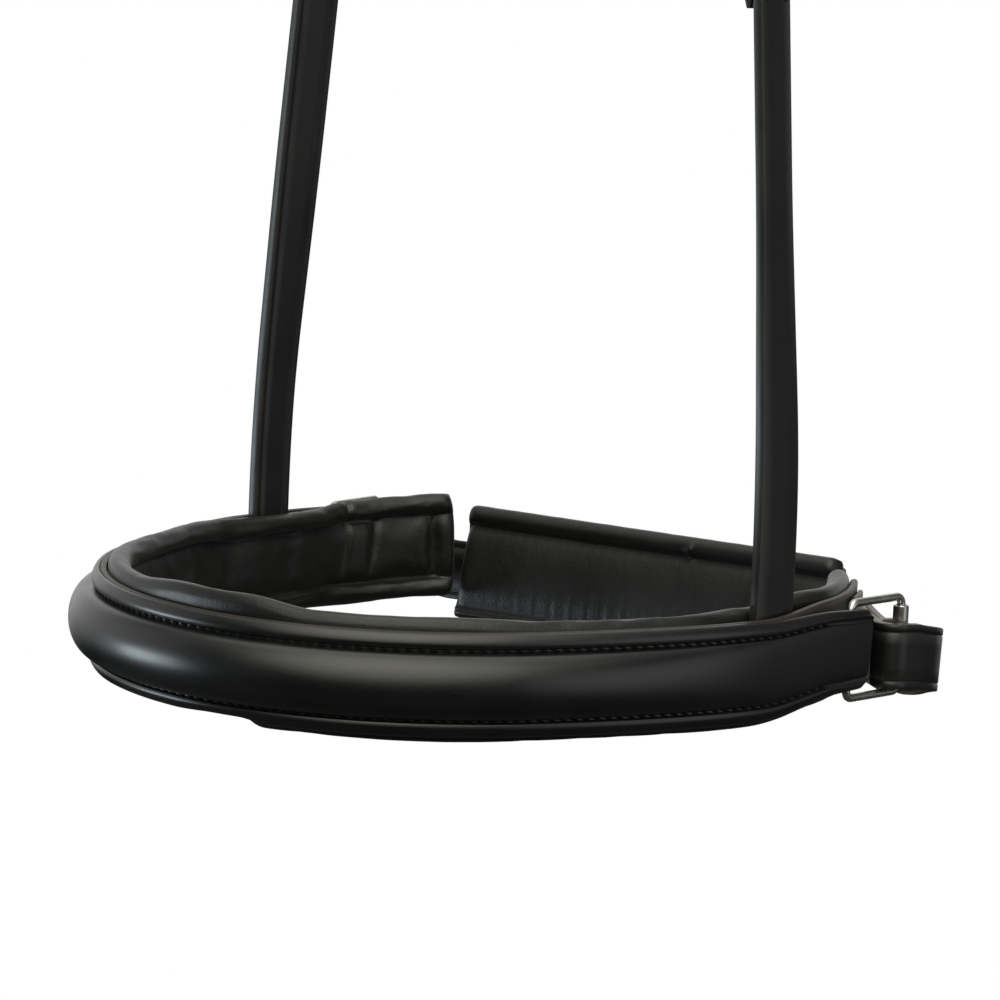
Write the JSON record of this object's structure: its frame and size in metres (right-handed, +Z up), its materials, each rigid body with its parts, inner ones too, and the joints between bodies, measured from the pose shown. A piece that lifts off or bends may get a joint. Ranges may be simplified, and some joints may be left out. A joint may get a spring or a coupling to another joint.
{
  "type": "crank noseband",
  "caption": "Padded crank noseband with a raised nosepiece, steel crank loops, a doubled chin strap with its own pad, and two cheek straps to hang it by.",
  "frame": {"origin": "middle of the nose on the outer face of the nosepiece's flanges, halfway up the band", "axes": "+Z up, +Y from the nose towards the chin, +X towards the horse's near (left) side"},
  "size_m": [0.2368, 0.2625, 0.2758],
  "materials": {
    "cover_leather": "semi-gloss black",
    "strap_leather": "satin black",
    "backing_leather": "flesh side, brown, edges black",
    "lining_leather": "soft matte black",
    "padding": "foam and felt",
    "steel": "satin"
  },
  "bodies": {
    "noseband": {"nose_cover": "cover_leather", "nose_filler": "padding", "nose_backing": "backing_leather", "nose_foam": "padding", "nose_lining": "lining_leather", "near_flap_facing": "strap_leather", "off_flap_facing": "strap_leather", "near_crank_chape": "strap_leather", "off_crank_chape": "strap_leather", "near_cheek_anchor": "strap_leather", "off_cheek_anchor": "strap_leather", "chin_strap": "strap_leather", "chin_buckle_chape": "strap_leather", "chin_keeper": "strap_leather"},
    "near_loop": {"near_crank_loop": "steel"},
    "near_roller": {"near_loop_roller": "steel"},
    "off_loop": {"off_crank_loop": "steel"},
    "chin_frame": {"chin_buckle_frame": "steel"},
    "chin_tongue": {"chin_buckle_tongue": "steel"},
    "chin_runner": {"chin_runner": "strap_leather"},
    "chin_pad": {"chin_pad_backing": "backing_leather", "chin_pad_foam": "padding", "chin_pad_lining": "lining_leather", "near_chin_pad_loop": "strap_leather", "off_chin_pad_loop": "strap_leather"},
    "near_strap": {"near_cheek_strap": "strap_leather", "near_cheek_keeper": "strap_leather"},
    "near_buckle": {"near_cheek_buckle": "steel"},
    "near_tongue": {"near_cheek_tongue": "steel"},
    "near_runner": {"near_cheek_runner": "strap_leather"},
    "off_strap": {"off_cheek_strap": "strap_leather", "off_cheek_keeper": "strap_leather"},
    "off_buckle": {"off_cheek_buckle": "steel"},
    "off_tongue": {"off_cheek_tongue": "steel"},
    "off_runner": {"off_cheek_runner": "strap_leather"}
  },
  "joints": [
    {"name": "near_loop_swing", "type": "hinge", "parent": "noseband", "child": "near_loop", "pos_m": [0.1094, 0.17399, 0.0016], "axis": [0, 0, 1], "range_deg": [-2, 2]},
    {"name": "off_loop_swing", "type": "hinge", "parent": "noseband", "child": "off_loop", "pos_m": [-0.11248, 0.17253, 0], "axis": [0, 0, 1], "range_deg": [-2, 2]},
    {"name": "near_roller_turn", "type": "hinge", "parent": "near_loop", "child": "near_roller", "pos_m": [0.10966, 0.19799, 0.0016], "axis": [0, 0, 1], "continuous": true},
    {"name": "chin_frame_swing", "type": "hinge", "parent": "noseband", "child": "chin_frame", "pos_m": [-0.00941, 0.2426, -0.00867], "axis": [-0.0445, 0.2378, 0.9703], "range_deg": [0, 6]},
    {"name": "chin_tongue_turn", "type": "hinge", "parent": "chin_frame", "child": "chin_tongue", "pos_m": [-0.00941, 0.2426, -0.00867], "axis": [-0.0445, 0.2378, 0.9703], "range_deg": [0, 22]},
    {"name": "chin_runner_slide", "type": "slide", "parent": "noseband", "child": "chin_runner", "axis": [-0.9829, -0.184, 0], "range_m": [-0.006, 0.006]},
    {"name": "chin_pad_slide", "type": "slide", "parent": "noseband", "child": "chin_pad", "axis": [-0.9829, -0.184, 0], "range_m": [-0.001, 0.001]},
    {"name": "near_strap_fold", "type": "hinge", "parent": "noseband", "child": "near_strap", "pos_m": [0.10603, 0.14078, 0.0172], "axis": [0.0315, 0.9995, 0], "range_deg": [-20, 30]},
    {"name": "near_buckle_swing", "type": "hinge", "parent": "near_strap", "child": "near_buckle", "pos_m": [0.08625, 0.14085, 0.2362], "axis": [0.1582, -0.9873, 0.0174], "range_deg": [-20, 20]},
    {"name": "near_tongue_turn", "type": "hinge", "parent": "near_buckle", "child": "near_tongue", "pos_m": [0.08625, 0.14085, 0.2362], "axis": [0.1582, -0.9873, 0.0174], "range_deg": [0, 90]},
    {"name": "near_runner_slide", "type": "slide", "parent": "near_strap", "child": "near_runner", "axis": [-0.0915, 0.0029, 0.9958], "range_m": [-0.012, 0.005]},
    {"name": "off_strap_fold", "type": "hinge", "parent": "noseband", "child": "off_strap", "pos_m": [-0.1072, 0.1384, 0.0172], "axis": [0.0528, -0.9986, 0], "range_deg": [-20, 30]},
    {"name": "off_buckle_swing", "type": "hinge", "parent": "off_strap", "child": "off_buckle", "pos_m": [-0.08742, 0.13888, 0.2362], "axis": [0.1371, 0.9904, -0.0174], "range_deg": [-20, 20]},
    {"name": "off_tongue_turn", "type": "hinge", "parent": "off_buckle", "child": "off_tongue", "pos_m": [-0.08742, 0.13888, 0.2362], "axis": [0.1371, 0.9904, -0.0174], "range_deg": [0, 90]},
    {"name": "off_runner_slide", "type": "slide", "parent": "off_strap", "child": "off_runner", "axis": [0.0914, 0.0048, 0.9958], "range_m": [-0.012, 0.005]}
  ]
}
